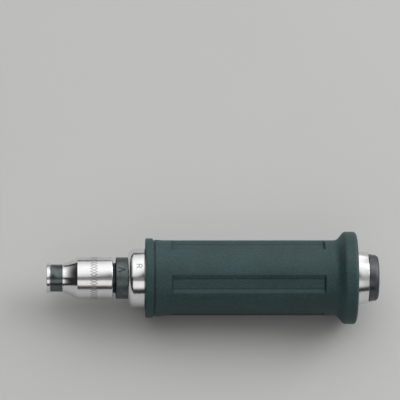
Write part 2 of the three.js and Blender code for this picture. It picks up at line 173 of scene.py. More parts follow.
def shade(colour, share=1.0):
    """Colour times a share, with the alpha that sockets take."""
    return (*[part * share for part in colour], 1)


class Graph:
    """A node tree with short calls for the nodes that the materials and the sky use."""

    def __init__(self, tree):
        self.tree = tree

    def add(self, kind, inputs=(), **settings):
        """New node with its settings, and with values or sockets on its inputs."""
        node = self.tree.nodes.new(kind)
        for key, value in settings.items():
            setattr(node, key, value)
        for key, value in dict(inputs).items():
            self.feed(node.inputs[key], value)
        return node

    def feed(self, socket, value):
        """Links a socket, or sets it to a plain value. None leaves it as it is."""
        if isinstance(value, bpy.types.NodeSocket):
            self.tree.links.new(value, socket)
        elif value is not None:
            socket.default_value = value

    def math(self, operation, a, b=None, c=None):
        return self.add("ShaderNodeMath", {0: a, 1: b, 2: c}, operation=operation).outputs[0]

    def times(self, product, *factors):
        """Product of two or more values."""
        for factor in factors:
            product = self.math("MULTIPLY", product, factor)
        return product

    def ramp(self, value, low, high, out_low=0.0, out_high=1.0):
        """Smooth step from one output to another while the value goes from low to high."""
        inputs = {"Value": value, "From Min": low, "From Max": high, "To Min": out_low, "To Max": out_high}
        return self.add("ShaderNodeMapRange", inputs, interpolation_type="SMOOTHSTEP").outputs["Result"]

    def window(self, value, rise_from, rise_to, fall_from, fall_to):
        """1 between a smooth rise and a smooth fall, and 0 outside them."""
        return self.times(self.ramp(value, rise_from, rise_to), self.ramp(value, fall_from, fall_to, 1, 0))

    def mix(self, share, a, b):
        node = self.add("ShaderNodeMix", data_type="RGBA")
        for socket, value in zip([node.inputs[0], node.inputs[6], node.inputs[7]], [share, a, b]):
            self.feed(socket, value)
        return node.outputs[2]


class Finish(Graph):
    """A material on the shader's own sockets, with the object's own coordinates at hand."""

    def __init__(self, name, colour, **sockets):
        self.material = bpy.data.materials.new(name)
        self.material.use_nodes = True
        super().__init__(self.material.node_tree)
        self.shader = self.tree.nodes["Principled BSDF"]
        self.set(Base_Color=shade(colour), **sockets)
        self.place = self.add("ShaderNodeTexCoord").outputs["Object"]
        self.x, self.y, self.z = self.add("ShaderNodeSeparateXYZ", {"Vector": self.place}).outputs

    def set(self, **sockets):
        """Feeds the shader's sockets, whose names have _ for a space here."""
        for key, value in sockets.items():
            self.feed(self.shader.inputs[key.replace("_", " ")], value)

    def source(self, name):
        """What feeds one of the shader's sockets so far."""
        return self.shader.inputs[name].links[0].from_socket

    def station(self):
        return self.math("MULTIPLY_ADD", self.x, 1 / MM, LENGTH)

    def bearing(self):
        return self.math("ARCTAN2", self.y, self.z)

    def noise(self, scale, detail=3.0, roughness=0.5, vector=None):
        """Noise with so many lumps to a metre, or to a unit of its own vector."""
        vector = self.place if vector is None else vector
        inputs = {"Vector": vector, "Scale": scale, "Detail": detail, "Roughness": roughness}
        return self.add("ShaderNodeTexNoise", inputs).outputs["Fac"]

    def stretched(self, x, y, z):
        return self.add("ShaderNodeMapping", {"Vector": self.place, "Scale": (x, y, z)}).outputs["Vector"]

    def turned_lines(self, pitch):
        """Height of fine lines round the axis, as a lathe leaves them."""
        return self.noise(1.0, 2.0, 0.6, self.stretched(1 / (pitch * MM), 20, 20))

    def around(self, value, spread, noise):
        """Value that a noise moves up and down by half a spread."""
        return self.math("MULTIPLY_ADD", noise, spread, value - spread / 2)

    def bump(self, height, strength, depth, normal=None):
        inputs = {"Height": height, "Strength": strength, "Distance": depth * MM, "Normal": normal}
        return self.add("ShaderNodeBump", inputs).outputs["Normal"]


# Materials of the steel pieces

BAND_MIDDLE, BAND_SWING, BAND_TEETH = 26.3, 1.85, 22
BAND_LINE, BAND_LINE_BLUR = 0.27, 0.05
ETCH_GREY = (0.08, 0.08, 0.083)


def satin_chrome(name, colour, roughness, line_pitch=0.35):
    """Chrome over turned steel: faint clouds and fine lines."""
    finish = Finish(name, colour, Metallic=1.0, Roughness=roughness)
    lines = finish.turned_lines(line_pitch)
    cloud = finish.noise(260.0, 4.0)
    tint = finish.mix(finish.ramp(cloud, 0.35, 0.75), shade(colour, 0.95), shade(colour))
    rough = finish.math("MULTIPLY_ADD", lines, 0.05, finish.around(roughness, 0.07, cloud))
    finish.set(Base_Color=tint, Roughness=rough, Normal=finish.bump(lines, 0.6, 0.0012))
    return finish


def zigzag_band(finish):
    """Share of etching: two zigzag lines that cross, round the bit holder."""
    aside = finish.math("SUBTRACT", finish.station(), BAND_MIDDLE)
    turn = finish.math("DIVIDE", finish.bearing(), math.pi / BAND_TEETH)
    zigzag = finish.math("MULTIPLY_ADD", finish.math("PINGPONG", turn, 1.0), 2 * BAND_SWING, -BAND_SWING)
    to_one = finish.math("ABSOLUTE", finish.math("SUBTRACT", aside, zigzag))
    to_other = finish.math("ABSOLUTE", finish.math("ADD", aside, zigzag))
    nearest = finish.math("MINIMUM", to_one, to_other)
    frost = finish.ramp(finish.noise(1800.0, 3.0, 0.65), 0.25, 0.55, 0.6, 1.0)
    line = finish.ramp(nearest, BAND_LINE - BAND_LINE_BLUR, BAND_LINE + BAND_LINE_BLUR, 1, 0)
    return finish.times(line, frost)


def etched_chrome(name, colour, roughness):
    """Satin chrome with the etched band, a little duller on the barrel than on the nose."""
    finish = satin_chrome(name, colour, roughness)
    etch = zigzag_band(finish)
    barrel = finish.ramp(finish.station(), FLARE_END - 0.7, FLARE_END + 0.8)
    rough = finish.math("MULTIPLY_ADD", barrel, 0.06, finish.source("Roughness"))
    finish.set(
        Base_Color=finish.mix(etch, finish.source("Base Color"), shade(ETCH_GREY)),
        Roughness=finish.math("MULTIPLY_ADD", etch, 0.4, rough),
        Normal=finish.bump(finish.math("SUBTRACT", 1.0, etch), 0.5, 0.03, finish.source("Normal")))
    return finish


def oxide_steel(name, colour, roughness):
    """Dark oiled steel: cloudy, with fine turned lines."""
    finish = Finish(name, colour, Metallic=1.0, Roughness=roughness)
    cloud = finish.noise(320.0, 5.0, 0.6)
    tint = finish.mix(finish.ramp(cloud, 0.3, 0.75), shade(colour, 0.78), shade(colour, 1.15))
    finish.set(
        Base_Color=tint,
        Roughness=finish.around(roughness, 0.16, cloud),
        Normal=finish.bump(finish.turned_lines(0.4), 0.7, 0.002))
    return finish


def stem_oxide_with_neck_shade(name, colour, roughness):
    """Oxide steel with painted shade: darker on the neck between the bit holder and the stem."""
    finish = oxide_steel(name, colour, roughness)
    # Painted shade: the colour darkens to about a third on the neck, where shade falls between the two parts
    neck_shade_start, neck_shade_end = HOLDER_REAR - 0.2, STEM_FRONT - 0.1
    neck_shade = finish.window(finish.station(), neck_shade_start - 0.4, neck_shade_start, neck_shade_end, neck_shade_end + 0.8)
    finish.set(Base_Color=finish.mix(neck_shade, finish.source("Base Color"), shade(colour, 0.35)))
    return finish


def ground_steel(name, colour, roughness):
    """Hardened and ground steel of the inner pieces."""
    finish = Finish(name, colour, Metallic=1.0, Roughness=roughness)
    scratch = finish.noise(1.0, 2.0, vector=finish.stretched(400, 2600, 2600))
    tint = finish.mix(finish.noise(180.0, 4.0), shade(colour, 0.85), shade(colour, 1.12))
    rough = finish.around(roughness, 0.18, scratch)
    finish.set(Base_Color=tint, Roughness=rough, Normal=finish.bump(scratch, 0.4, 0.003))
    return finish


def worn_head(name, colour, roughness, face_roughness):
    """Unplated steel of the striking head: turned rings on its side, dents and bare spots on its face."""
    finish = Finish(name, colour, Metallic=1.0, Roughness=roughness)
    station = finish.station()
    cloud = finish.noise(150.0, 5.0, 0.6)
    lines = finish.turned_lines(0.7)
    face = finish.ramp(station, LENGTH - 0.6, LENGTH - 0.1)
    dents = finish.add("ShaderNodeTexVoronoi", {"Vector": finish.place, "Scale": 300.0, "Randomness": 1.0},
                       feature="SMOOTH_F1").outputs["Distance"]
    bare = finish.ramp(finish.noise(620.0, 5.0, 0.7), 0.38, 0.78, 0.0, 0.45)
    tint = finish.mix(cloud, shade(colour, 0.8), shade(colour, 1.2))
    tint = finish.mix(finish.ramp(lines, 0.5, 0.75, 0, 0.35), tint, shade((0.24, 0.235, 0.25)))
    tint = finish.mix(finish.times(bare, face), tint, shade((0.34, 0.33, 0.34)))
    spread = 0.12
    least, least_on_face = roughness - spread / 2, face_roughness - spread / 2
    base = finish.ramp(station, LENGTH - 3.4, LENGTH - 1.6, least, least_on_face)
    height = finish.mix(face, lines, finish.math("MULTIPLY_ADD", cloud, 0.5, dents))
    finish.set(
        Base_Color=tint,
        Roughness=finish.math("MULTIPLY_ADD", cloud, spread, base),
        Normal=finish.bump(height, 0.6, 0.012))
    return finish


# Materials of the other pieces

# Painted shade on the grip: how far the colour darkens at the panels' end walls, at the foot of their side
# walls and in the groove, and the dark colour it darkens to
END_WALL_SHADE, SIDE_WALL_SHADE, GROOVE_SHADE = 0.6, 0.55, 0.5
CREASE_SHADE_COLOUR = (0.006, 0.010, 0.011)


def grip_crease_shade(finish):
    """Share of painted shade in the groove behind the front band, and at the foot of the panels' walls, where
    shade falls.
    """
    # Aside is the angle from the middle of the nearest panel, and away the distance from halfway along it
    turn = finish.math("MODULO", finish.math("ADD", finish.bearing(), 4 * math.pi), PANEL_STEP)
    aside = finish.math("ABSOLUTE", finish.math("SUBTRACT", turn, PANEL_STEP / 2))
    offset = finish.math("SUBTRACT", finish.station(), (PANEL_START + PANEL_END) / 2)
    away = finish.math("ABSOLUTE", offset)
    floor_end = (PANEL_END - PANEL_START) / 2 - PANEL_SLOPE
    foot_angle = math.atan2(PANEL_HALF, PANEL_FLOOR)
    rim_angle = math.asin(PANEL_EDGE / GRIP_RADIUS)
    end_walls = finish.times(
        END_WALL_SHADE,
        finish.window(away, floor_end - 0.5, floor_end + 0.1, floor_end + 0.5, floor_end + 1.1),
        finish.ramp(aside, rim_angle - 0.019, rim_angle + 0.011, 1, 0))
    side_walls = finish.times(
        SIDE_WALL_SHADE,
        finish.window(aside, foot_angle - 0.028, foot_angle - 0.005, foot_angle + 0.005, foot_angle + 0.02),
        finish.ramp(away, floor_end + 0.1, floor_end + 0.5, 1, 0))
    in_groove = finish.window(
        finish.station(), GROOVE_START - 0.1, GROOVE_START + 0.3, GROOVE_END - 0.1, GROOVE_END + 0.9)
    groove = finish.times(GROOVE_SHADE, in_groove)
    return finish.math("MAXIMUM", finish.math("MAXIMUM", end_walls, groove), side_walls)


def grip_rubber(name, colour, roughness):
    """Matte moulded rubber: fine grain with pale and dark specks, faint clouds, and painted shade in its
    corners.
    """
    finish = Finish(name, colour, Roughness=roughness, Specular_IOR_Level=0.35)
    cloud = finish.noise(70.0, 5.0, 0.6)
    speck = finish.noise(1300.0, 3.0, 0.65)
    grain = finish.noise(3800.0, 2.0, 0.6)
    tint = finish.mix(finish.ramp(cloud, 0.3, 0.72), shade(colour, 0.86), shade(colour, 1.14))
    tint = finish.mix(finish.ramp(speck, 0.5, 0.68, 0, 0.5), tint, shade(colour, 1.75))
    tint = finish.mix(finish.ramp(speck, 0.32, 0.5, 0.5, 0), tint, shade(colour, 0.4))
    # Painted shade: the rubber darkens in the groove and in the panels' corners
    tint = finish.mix(grip_crease_shade(finish), tint, shade(CREASE_SHADE_COLOUR))
    normal = finish.bump(grain, 0.35, 0.04, finish.bump(speck, 0.25, 0.08))
    finish.set(Base_Color=tint, Roughness=finish.around(roughness, 0.14, cloud), Normal=normal)
    return finish


def black_seal(name, colour, roughness):
    """Black nitrile of the O-rings."""
    finish = Finish(name, colour, Roughness=roughness)
    cloud = finish.noise(900.0, 3.0)
    finish.set(
        Base_Color=finish.mix(cloud, shade((0.009, 0.009, 0.010)), shade((0.018, 0.018, 0.019))),
        Roughness=finish.around(roughness, 0.2, cloud),
        Normal=finish.bump(cloud, 0.3, 0.02))
    return finish


def bronze(name, colour, roughness):
    """Turned bronze of the thrust washer."""
    finish = Finish(name, colour, Metallic=1.0, Roughness=roughness)
    cloud = finish.noise(240.0, 5.0, 0.6)
    finish.set(
        Base_Color=finish.mix(cloud, shade((0.42, 0.27, 0.11)), shade((0.62, 0.44, 0.2))),
        Roughness=finish.around(roughness, 0.2, cloud),
        Normal=finish.bump(finish.turned_lines(0.3), 0.5, 0.002))
    return finish


def etched_mark(name, colour):
    """Frosted stroke of a direction mark."""
    finish = Finish(name, colour, Roughness=0.7)
    frost = finish.noise(2600.0, 3.0, 0.7)
    tint = finish.mix(frost, shade(colour, 0.7), shade(colour, 1.25))
    finish.set(Base_Color=tint, Normal=finish.bump(frost, 0.4, 0.02))
    return finish


HOLDER_CHROME = etched_chrome("holder_chrome", (0.80, 0.80, 0.805), 0.1)
COLLAR_CHROME = satin_chrome("collar_chrome", (0.82, 0.825, 0.83), 0.13)
CASING_CHROME = satin_chrome("casing_chrome", (0.80, 0.805, 0.81), 0.14, line_pitch=0.6)
BLACK_OXIDE = stem_oxide_with_neck_shade("black_oxide", (0.126, 0.149, 0.149), 0.4)
SPRING_STEEL = oxide_steel("spring_steel", (0.117, 0.139, 0.141), 0.24)
HARD_STEEL = ground_steel("hardened_steel", (0.42, 0.42, 0.44), 0.3)
BALL_STEEL = ground_steel("ball_steel", (0.62, 0.62, 0.64), 0.12)
HEAD_STEEL = worn_head("head_steel", (0.100, 0.107, 0.118), 0.29, face_roughness=0.49)
GRIP_RUBBER = grip_rubber("grip_rubber", (0.0290, 0.0642, 0.0667), 0.52)
SEAL_RUBBER = black_seal("seal_rubber", (0.012, 0.012, 0.013), 0.5)
BRONZE = bronze("washer_bronze", (0.55, 0.38, 0.16), 0.32)
MARK_GREY = etched_mark("mark_grey", (0.47, 0.47, 0.48))
MARK_DARK = etched_mark("mark_dark", (0.018, 0.019, 0.020))


# Outlines, as lists of (station, radius)

def bend(start, corner, end, steps):
    """Points of the curve that leaves start towards a corner and reaches end from it."""
    start, corner, end = Vector(start), Vector(corner), Vector(end)
    shares = np.linspace(0, 1, steps + 1)
    return [tuple(start * (1 - t) ** 2 + corner * 2 * t * (1 - t) + end * t ** 2) for t in shares]


def eased(points, steps=4):
    """Outline with each corner (station, radius, ease) rounded over its ease."""
    out = []
    for i, point in enumerate(points):
        if len(point) < 3:
            out.append(point)
            continue
        before, corner, after = (Vector(near[:2]) for near in points[i - 1:i + 2])
        ease = min(point[2], 0.48 * (before - corner).length, 0.48 * (after - corner).length)
        start = corner + (before - corner).normalized() * ease
        end = corner + (after - corner).normalized() * ease
        out += bend(start, corner, end, steps)
    return out


def through(knots, steps=5):
    """Points of a Catmull-Rom curve through the knots, without the last knot."""
    out = []
    for i in range(len(knots) - 1):
        before, a, b, after = knots[max(i - 1, 0)], knots[i], knots[i + 1], knots[min(i + 2, len(knots) - 1)]
        for t in np.linspace(0, 1, steps + 1)[:-1]:
            out.append(0.5 * (2 * a + (b - before) * t + (2 * before - 5 * a + 4 * b - after) * t ** 2
                              + (3 * a - before - 3 * b + after) * t ** 3))
    return out


def arc(station, radius, reach, start, end, count):
    """Points round a centre. An angle of 0 looks away from the axis, and a quarter turn looks to the rear."""
    angles = np.linspace(start, end, count)
    return [(station + reach * math.sin(a), radius + reach * math.cos(a)) for a in angles]


# Meshes

COLUMNS = 192
SMOOTH_ANGLE = 30


def outward(mesh):
    """Turns every face of a closed mesh outward."""
    shape = bmesh.new()
    shape.from_mesh(mesh)
    bmesh.ops.recalc_face_normals(shape, faces=shape.faces)
    shape.to_mesh(mesh)
    shape.free()


def smooth(mesh, angle):
    """Smooth shading, with sharp edges above an angle in degrees unless it is 0."""
    mesh.polygons.foreach_set("use_smooth", [True] * len(mesh.polygons))
    if angle:
        mesh.set_sharp_from_angle(angle=math.radians(angle))


def solid(name, places, faces):
    """Object of a closed mesh."""
    mesh = bpy.data.meshes.new(name)
    mesh.from_pydata(places, [], faces)
    outward(mesh)
    return link(name, mesh)


def even(columns):
    """Bearings with equal steps, once round."""
    return np.arange(columns) * 2 * np.pi / columns


def polygon_radius(sides, half_width):
    """Radius of a polygon with a flat towards +Z, for each of the usual columns."""
    step = 2 * np.pi / sides
    return half_width / np.cos((even(COLUMNS) + step / 2) % step - step / 2)


def lathe(name, outline, bearings=even(COLUMNS), closed=False, angle=SMOOTH_ANGLE):
    """Outline turned round the axis. A radius may be an array with one value per bearing."""
    columns = len(bearings)
    places, rows, faces = [], [], []
    for station, radius in outline:
        first = len(places)
        if np.ndim(radius) == 0 and radius < 1e-9:
            rows.append([first])
            places.append(place(station, 0, 0))
        else:
            rows.append(range(first, first + columns))
            places += [place(station, r, b) for r, b in zip(np.broadcast_to(radius, (columns,)), bearings)]
    for one, two in list(zip(rows, rows[1:])) + ([(rows[-1], rows[0])] if closed else []):
        for j in range(columns):
            k = (j + 1) % columns
            if len(one) == 1:
                faces.append((one[0], two[j], two[k]))
            elif len(two) == 1:
                faces.append((one[j], two[0], one[k]))
            else:
                faces.append((one[j], two[j], two[k], one[k]))
    shape = solid(name, places, faces)
    smooth(shape.data, angle)
    return shape


def skin(name, runs):
    """Runs of sections, each a loop of points, joined in order and capped at both ends of a run."""
    places, faces = [], []
    for sections in runs:
        start, size = len(places), len(sections[0])
        for section in sections:
            places += section
        end = len(places)
        for first in range(start, end - size, size):
            for j in range(size):
                k = (j + 1) % size
                faces.append((first + j, first + k, first + size + k, first + size + j))
        faces += [tuple(range(start, start + size)), tuple(range(end - 1, end - size - 1, -1))]
    return solid(name, places, faces)


def ring(name, station, radius, wire, columns=96):
    """Round wire bent round the axis."""
    outline = [(station + wire * math.cos(a), radius + wire * math.sin(a)) for a in even(20)]
    return lathe(name, outline, even(columns), closed=True, angle=0)


def rod(name, radius, low, high, station, bearing):
    """Round bar across the axis at a station, from one height to another along a bearing."""
    shape = lathe(name, [(low, 0), (low, radius), (high, radius), (high, 0)], even(48))
    along = Vector((0, math.sin(bearing), math.cos(bearing)))
    aside = Vector((0, math.cos(bearing), -math.sin(bearing)))
    turn = Matrix((along, aside, Vector((1, 0, 0)))).transposed().to_4x4()
    shape.data.transform(Matrix.Translation((LENGTH * MM, 0, 0)))
    shape.data.transform(Matrix.Translation(((station - LENGTH) * MM, 0, 0)) @ turn)
    outward(shape.data)
    return shape


def cut(shape, *cutters, angle=SMOOTH_ANGLE):
    """Takes the cutters out of the shape and leaves a plain mesh."""
    for cutter in cutters:
        step = shape.modifiers.new("cut", "BOOLEAN")
        step.object, step.operation, step.solver = cutter, "DIFFERENCE", "EXACT"
    view = bpy.context.evaluated_depsgraph_get()
    mesh = bpy.data.meshes.new_from_object(shape.evaluated_get(view))
    shape.modifiers.clear()
    shape.data = mesh
    smooth(mesh, angle)
    for cutter in cutters:
        bpy.data.objects.remove(cutter)
    return shape


def dress(shape, finish, body, slot, *nodes):
    """Gives a piece its finish and its body, and hides the nodes that it stands for. The slot is not used."""
    shape.data.materials.clear()
    shape.data.materials.append(finish.material)
    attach(shape, body)
    if nodes:
        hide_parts(*nodes)


# Bit holder: clip groove and flare outside, hexagon socket and square recess inside

def bit_holder():
    """The outline goes round from the bottom of the socket over the outside to the bottom of the recess."""
    hexagon = polygon_radius(6, HEX_HALF)
    square = np.minimum(polygon_radius(4, RECESS_HALF), RECESS_CORNER)
    groove_start, groove_end, groove_radius = 1.95, 9.0, 6.9
    socket_end, mouth_radius, mouth_depth = 19.5, 4.95, 0.9
    recess_end, recess_middle, recess_mouth_radius, recess_mouth_depth = 21.5, 30.0, 9.35, 1.6
    socket = [(socket_end, 0), (socket_end, hexagon * 0.995), (socket_end - 0.1, hexagon), (1.6, hexagon)]
    socket += [(d, np.maximum(hexagon, mouth_radius - d)) for d in np.linspace(mouth_depth, 0.0, 8)]
    nose = eased([
        (0, mouth_radius + 0.25), (0, NOSE_RADIUS, 0.5), (groove_start, NOSE_RADIUS, 0.15),
        (groove_start, groove_radius, 0.1), (groove_end, groove_radius, 0.1),
        (groove_end, NOSE_RADIUS, 0.15), (NOSE_END, NOSE_RADIUS)])
    flare = bend((NOSE_END, NOSE_RADIUS), FLARE_CORNER, (FLARE_END, HOLDER_RADIUS), 14)
    barrel = eased([
        (FLARE_END + 0.55, HOLDER_RADIUS), (HOLDER_REAR, HOLDER_RADIUS, 0.55),
        (HOLDER_REAR, recess_mouth_radius + 0.55)])
    recess = [(HOLDER_REAR - d, np.clip(square, recess_mouth_radius - d, recess_mouth_radius))
              for d in np.linspace(0.0, recess_mouth_depth, 9)]
    recess += [
        (recess_middle, square), (recess_end + 0.1, square), (recess_end, square * 0.99), (recess_end, 0)]
    shape = lathe("holder_body", socket + nose[:-1] + flare + barrel + recess)
    return cut(shape, rod("ball_hole", BALL_HOLE_RADIUS, 3.0, 8.0, BALL_STATION, 0), angle=28)


def bit_clip():
    """Strip bent round the groove, open at the bottom, with a raised rim along both edges."""
    low, high, front, rear = 7.03, 7.62, 2.22, 8.74
    edge, rim, rim_foot, dip = 0.12, 0.7, 0.95, 0.07
    section = [
        (front + edge, low), (rear - edge, low), (rear, low + edge),
        (rear, high - edge), (rear - edge, high), (rear - rim, high), (rear - rim_foot, high - dip),
        (front + rim_foot, high - dip), (front + rim, high), (front + edge, high), (front, high - edge),
        (front, low + edge)]
    opening, middle_radius = 5.0, 7.3
    half_gap = math.asin(opening / 2 / middle_radius)
    bearings = np.linspace(half_gap - math.pi, math.pi - half_gap, 151)
    shape = skin("clip_band", [[[place(u, r, b) for u, r in section] for b in bearings]])
    smooth(shape.data, SMOOTH_ANGLE)
    return shape


def bit_ball():
    """Ball above the axis, under the clip."""
    shape = lathe("holder_ball", arc(0, 0, BALL_RADIUS, -math.pi / 2, math.pi / 2, 25), even(48), angle=0)
    shape.data.transform(Matrix.Translation((BALL_STATION * MM, 0, BALL_HEIGHT * MM)))
    return shape


dress(bit_holder(), HOLDER_CHROME, "holder", "holder_chrome", "bit_holder")
dress(bit_clip(), SPRING_STEEL, "holder", "spring_steel", "bit_clip")
dress(bit_ball(), BALL_STEEL, "ball", "hardened_steel", "bit_ball")


# Spindle: square drive with a groove for the friction ring, stem, flange and tail with the pin's hole

def spindle():
    """The drive's corners are rounded off, and a waist in it carries the friction ring."""
    tip_corner, chamfer_corner, waist_radius, root_corner = 6.5, 7.3, 5.8, 9.4
    flange_front, flange_rear, flange_radius, tail_radius = 67.8, 71.8, 13.65, 8.0
    flat = polygon_radius(4, DRIVE_HALF)
    square = np.minimum(flat, DRIVE_CORNER)
    waist = np.minimum(square, waist_radius)
    tip = [
        (SPINDLE_FRONT, 0), (SPINDLE_FRONT, np.minimum(flat, tip_corner)),
        (SPINDLE_FRONT + 0.3, np.minimum(flat, chamfer_corner)), (SPINDLE_FRONT + 1.0, square)]
    groove = [
        (RING_STATION - 0.75, square), (RING_STATION - 0.7, waist),
        (RING_STATION + 0.7, waist), (RING_STATION + 0.75, square)]
    root = [(STEM_FRONT - 0.4, square), (STEM_FRONT, np.minimum(square + 0.4, root_corner))]
    stem = eased([
        (STEM_FRONT, 10.2), (STEM_FRONT, STEM_RADIUS, 0.9), (flange_front, STEM_RADIUS),
        (flange_front, flange_radius, 0.4), (flange_rear, flange_radius, 0.4), (flange_rear, tail_radius),
        (SPINDLE_REAR, tail_radius, 0.5), (SPINDLE_REAR, 5.0), (SPINDLE_REAR, 0)])
    shape = lathe("spindle_body", tip + groove + root + stem)
    return cut(shape, rod("pin_hole", CROSS_PIN_HOLE_RADIUS, -10, 10, middle("cross_pin"), math.pi / 2))


dress(spindle(), BLACK_OXIDE, "drive", "black_oxide", "spindle")
dress(ring("friction_ring", RING_STATION, RING_RADIUS, RING_WIRE, 120),
      SPRING_STEEL, "drive", "spring_steel", "drive_ring")


# Front collar: bevelled ring, spigot in the casing, and a groove for the dust seal

BEVEL_SHARES = [(0, 0), (0.07, 0.4), (0.3, 0.68), (0.62, 0.88), (1, 1)]


def front_collar():
    """The outline goes round from the mouth over the bevel and back through the bore."""
    bevel_length, mouth, bore, spigot, groove_floor = 3.0, 12.2, 11.8, 13.7, 13.4
    bevel_end, shoulder = COLLAR_FRONT + bevel_length, CASING_FRONT - 0.1
    groove_front, groove_rear = SEAL_STATION - SEAL_GROOVE / 2, SEAL_STATION + SEAL_GROOVE / 2
    knots = [Vector((COLLAR_FRONT + bevel_length * a, mouth + (CASING_RADIUS - mouth) * b))
             for a, b in BEVEL_SHARES]
    bevel = [(max(knot.x, COLLAR_FRONT), min(knot.y, CASING_RADIUS)) for knot in through(knots)]
    body = eased([
        (bevel_end, CASING_RADIUS), (bevel_end + 0.5, CASING_RADIUS), (shoulder, CASING_RADIUS, 0.25),
        (shoulder, spigot), (COLLAR_REAR, spigot, 0.4), (COLLAR_REAR, bore, 0.3), (groove_rear, bore),
        (groove_rear, groove_floor), (groove_front, groove_floor), (groove_front, bore),
        (COLLAR_FRONT + 0.08, bore, 0.1), (COLLAR_FRONT, bore + 0.15)])
    return lathe("collar_body", bevel + body, closed=True)


dress(front_collar(), COLLAR_CHROME, "handle", "collar_chrome", "front_collar")
dress(ring("collar_seal", SEAL_STATION, SEAL_RADIUS, SEAL_WIRE),
      SEAL_RUBBER, "handle", "seal_rubber", "dust_seal")


# Casing: steel tube under the grip, necked down behind it

def casing():
    """The bore narrows behind the return spring, where it holds the head's plug."""
    bore, plug_bore, plug_depth, neck_radius, tail_radius = 14.0, 12.45, 18.7, 15.1, 14.12
    plug_front = CASING_REAR - plug_depth
    outline = eased([
        (CASING_FRONT, bore), (CASING_FRONT, CASING_RADIUS, 0.5), (TAPER_START, CASING_RADIUS),
        (GRIP_REAR, neck_radius), (CASING_REAR, tail_radius, 0.2), (CASING_REAR, plug_bore, 0.2),
        (plug_front, plug_bore), (plug_front, bore)])
    shape = lathe("casing_body", outline, closed=True)
    pin = rod("head_pin_hole", PIN_HOLE_RADIUS, -20, 20, middle("head_pin"), math.pi / 2)
    key = rod("key_hole", PIN_HOLE_RADIUS, -20, 20, middle("cam_key_1"), 0)
    return cut(shape, pin, key)


dress(casing(), CASING_CHROME, "handle", "casing_chrome", "casing")


# Striking head: its plug fits in the casing, and its side leans in towards the round edge of the face

def striking_head():
    """The outline goes from the plug's front over its seal groove and the head's side to the face."""
    plug_radius, groove_floor, head_radius = 12.2, 10.8, 13.2
    side_end_radius, edge, edge_centre, edge_lean = 12.72, 2.2, 10.5, 0.09
    head_start, edge_start = CASING_REAR + 0.3, LENGTH - edge
    groove_front = middle("head_seal") - SEAL_GROOVE / 2
    groove_rear = groove_front + SEAL_GROOVE
    outline = eased([
        (HEAD_FRONT, 0), (HEAD_FRONT, plug_radius, 0.5), (groove_front, plug_radius),
        (groove_front, groove_floor), (groove_rear, groove_floor), (groove_rear, plug_radius),
        (head_start - 0.05, plug_radius), (head_start, plug_radius + 0.05), (head_start, head_radius, 0.3),
        (head_start + 0.7, head_radius, 0.3), (edge_start, side_end_radius)])
    outline += arc(edge_start, edge_centre, edge, edge_lean, math.pi / 2, 14)
    outline += [(LENGTH, r) for r in (10.0, 8.0, 5.0, 2.0, 0)]
    shape = lathe("head_body", outline)
    return cut(shape, rod("plug_pin_hole", PIN_HOLE_RADIUS, -16, 16, middle("head_pin"), math.pi / 2))


dress(striking_head(), HEAD_STEEL, "handle", "head_steel", "striking_head")


# Grip sleeve: front band, groove, five shallow panels and a flared hand stop

def grip_bearings():
    """Bearings round the sleeve, close together where the panels' side walls begin and end."""
    # Degrees to either side of a panel's middle
    half = np.radians([
        0, 1.5, 3, 4.5, 6, 6.8, 7.4, 7.9, 8.4, 9, 10, 11.2,
        12.2, 12.9, 13.5, 14, 14.5, 15.1, 16, 17.5, 20, 24, 28, 32])
    one = np.concatenate([-half[:0:-1], half, [PANEL_STEP / 2]])
    return np.sort(np.concatenate([one + PANEL_STEP * (k + 0.5) for k in range(PANELS)]) % (2 * np.pi))


GRIP_BEARINGS = grip_bearings()


def soft_least(a, b, blend):
    """Lower of two values, rounded where they cross."""
    return 0.5 * (a + b - np.sqrt((a - b) ** 2 + blend ** 2))


def panelled(station):
    """Radius for each bearing where the panels are sunk into the sleeve."""
    aside = np.abs(GRIP_BEARINGS % PANEL_STEP - PANEL_STEP / 2)
    beyond_floor = max(PANEL_START + PANEL_SLOPE - station, station - PANEL_END + PANEL_SLOPE, -PANEL_SLOPE)
    rim_height = math.sqrt(GRIP_RADIUS ** 2 - PANEL_EDGE ** 2)
    rise = (rim_height - PANEL_FLOOR) / (PANEL_EDGE - PANEL_HALF)
    bottom = PANEL_FLOOR / np.cos(aside)
    side_wall = (PANEL_FLOOR - PANEL_HALF * rise) / (np.cos(aside) - np.sin(aside) * rise)
    end_wall = (PANEL_FLOOR + beyond_floor / PANEL_SLOPE * (GRIP_RADIUS - PANEL_FLOOR)) / np.cos(aside)
    side_foot, end_foot, rim = 0.07, 0.1, 0.08
    sunk = -soft_least(-side_wall, -bottom, side_foot)
    sunk = -soft_least(-sunk, -end_wall, end_foot)
    return soft_least(GRIP_RADIUS, sunk, rim)


def panel_stations():
    """Stations of the panels, close together on the slopes at both ends."""
    fine, coarse = 0.13, 4.5
    return [PANEL_START - 2.2, PANEL_START - 0.9, *np.arange(PANEL_START - 0.4, PANEL_START + 1.5, fine),
            *np.arange(PANEL_START + 2.3, PANEL_END - 2.5, coarse),
            *np.arange(PANEL_END - 1.4, PANEL_END + 0.6, fine), PANEL_END + 1.1]


def hand_stop():
    """Hollow foot, round top, straight rim and round rear edge of the flare."""
    lean, foot, top, rim_width, edge = math.radians(52), 3.9, 2.45, 3.9, 2.0
    rim_end = GRIP_REAR - edge
    rim_start = rim_end - rim_width
    rise = STOP_RADIUS - GRIP_RADIUS - (foot + top) * (1 - math.cos(lean))
    flare_start = rim_start - rise / math.tan(lean) - (foot + top) * math.sin(lean)
    return (arc(flare_start, GRIP_RADIUS + foot, foot, math.pi, math.pi - lean, 12)
            + arc(rim_start, STOP_RADIUS - top, top, -lean, 0, 10)
            + arc(rim_end, STOP_RADIUS - edge, edge, 0, math.pi / 2, 12))


